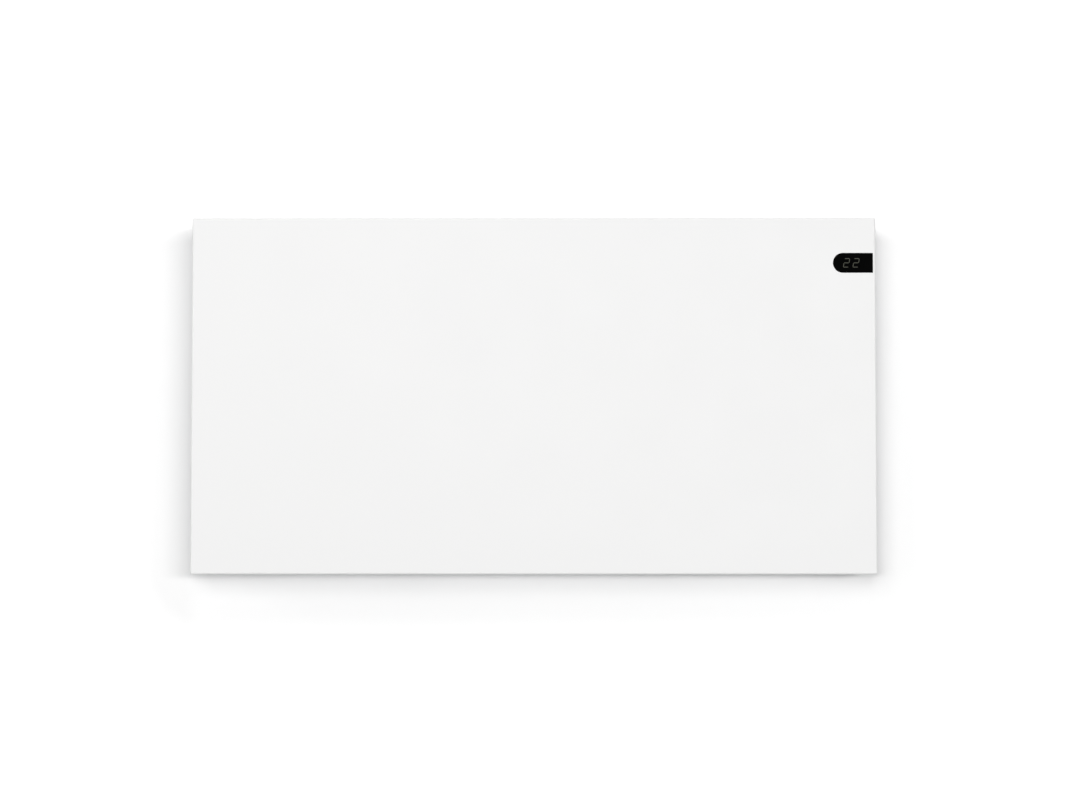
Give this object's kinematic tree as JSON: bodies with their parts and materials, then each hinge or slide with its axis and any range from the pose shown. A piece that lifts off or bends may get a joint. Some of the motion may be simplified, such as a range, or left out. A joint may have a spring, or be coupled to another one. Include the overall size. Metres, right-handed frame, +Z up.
{
  "type": "wall panel convector heater",
  "caption": "Slim flat-fronted wall convector heater with a folded white casing, a black rounded display tab, side keys, a finned element inside and a hook-on wall bracket.",
  "frame": {"origin": "centre of the wall bracket's four screw holes, on the wall plane", "axes": "+X to the right seen from the front, +Z up, -Y out of the wall towards the room"},
  "size_m": [0.71, 0.084, 0.37],
  "materials": {
    "white_powder_coat": "white powder coat, satin, very fine orange peel",
    "galvanised_sheet": "hot-dip galvanised sheet with faint spangle",
    "bracket_zinc": "zinc-plated pressed sheet",
    "shield_aluminium": "thin rolled aluminium sheet, bright",
    "fin_aluminium": "extruded aluminium, matt",
    "sheath_steel": "heat-tinted stainless steel",
    "zinc_fasteners": "bright zinc-plated steel",
    "brass_contacts": "plain brass",
    "black_rubber": "matt EPDM rubber",
    "silicone_bush": "red-brown silicone rubber",
    "white_ceramic": "steatite ceramic, matt",
    "phenolic_black": "black moulded plastic",
    "grey_plastic": "light grey flame-retardant plastic",
    "inlet_plastic": "white moulded plastic",
    "lever_plastic": "dark grey glass-filled nylon",
    "key_white": "fine-grained white plastic",
    "circuit_board": "green solder mask with tracks",
    "capacitor_sleeve": "shrink sleeve",
    "connector_white": "natural nylon",
    "black_gloss_acrylic": "polished black acrylic",
    "display_glow": "dim warm-white light through smoked windows",
    "sensor_bead": "epoxy bead",
    "lead_insulation": "silicone lead insulation",
    "sensor_insulation": "PVC lead insulation",
    "earth_insulation": "green and yellow lead insulation"
  },
  "bodies": {
    "bracket": {"wall_bracket": "bracket_zinc", "rest_pads": "black_rubber"},
    "heater": {"board_capacitors": "capacitor_sleeve", "board_screws": "zinc_fasteners", "bracket_screws": "zinc_fasteners", "cable_inlet": "inlet_plastic", "carrier_screw": "zinc_fasteners", "casing_screws": "zinc_fasteners", "control_board": "circuit_board", "control_cover": "grey_plastic", "control_housing": "grey_plastic", "control_partition": "galvanised_sheet", "cutout_leads": "lead_insulation", "cutout_strap": "sheath_steel", "display_board": "circuit_board", "display_carrier": "grey_plastic", "display_digits": "display_glow", "display_lens": "black_gloss_acrylic", "display_module": "phenolic_black", "earth_lead": "earth_insulation", "earth_stud": "brass_contacts", "element_body": "fin_aluminium", "element_bracket_left": "galvanised_sheet", "element_bracket_right": "galvanised_sheet", "element_bushes": "silicone_bush", "element_insulators": "white_ceramic", "element_lead": "lead_insulation", "element_rod": "sheath_steel", "element_terminals": "sheath_steel", "front_casing": "white_powder_coat", "front_heat_shield": "shield_aluminium", "inlet_screws": "zinc_fasteners", "key_board": "circuit_board", "key_fascia": "key_white", "key_switches": "phenolic_black", "lead_clips": "grey_plastic", "lead_connector": "connector_white", "overheat_cutout": "phenolic_black", "partition_rivets": "fin_aluminium", "power_relay": "phenolic_black", "rear_cover": "galvanised_sheet", "rear_heat_shield": "shield_aluminium", "room_sensor": "sensor_bead", "sensor_holder": "grey_plastic", "sensor_lead": "sensor_insulation", "shield_rivets": "fin_aluminium", "strap_screws": "zinc_fasteners", "supply_leads": "lead_insulation", "supply_module": "phenolic_black", "terminal_block": "connector_white", "terminal_fixings": "zinc_fasteners", "terminal_screws": "brass_contacts"},
    "lock_left": {"lock_bolt_left": "zinc_fasteners", "lock_lever_left": "lever_plastic"},
    "lock_right": {"lock_bolt_right": "zinc_fasteners", "lock_lever_right": "lever_plastic"},
    "key_power": {"key_power": "key_white"},
    "key_minus": {"key_minus": "key_white"},
    "key_plus": {"key_plus": "key_white"}
  },
  "joints": [
    {"name": "heater_lift", "type": "slide", "parent": "bracket", "child": "heater", "axis": [0, 0, 1], "range_m": [0, 0.012]},
    {"name": "lock_left_turn", "type": "hinge", "parent": "bracket", "child": "lock_left", "pos_m": [-0.13, -0.0225, -0.148], "axis": [0, 1, 0], "range_deg": [0, 90]},
    {"name": "lock_right_turn", "type": "hinge", "parent": "bracket", "child": "lock_right", "pos_m": [0.13, -0.0225, -0.148], "axis": [0, 1, 0], "range_deg": [0, 90]},
    {"name": "key_power_press", "type": "slide", "parent": "heater", "child": "key_power", "axis": [-1, 0, 0], "range_m": [0, 0.0005], "stiffness_N_per_m": 800},
    {"name": "key_minus_press", "type": "slide", "parent": "heater", "child": "key_minus", "axis": [-1, 0, 0], "range_m": [0, 0.0005], "stiffness_N_per_m": 800},
    {"name": "key_plus_press", "type": "slide", "parent": "heater", "child": "key_plus", "axis": [-1, 0, 0], "range_m": [0, 0.0005], "stiffness_N_per_m": 800}
  ]
}
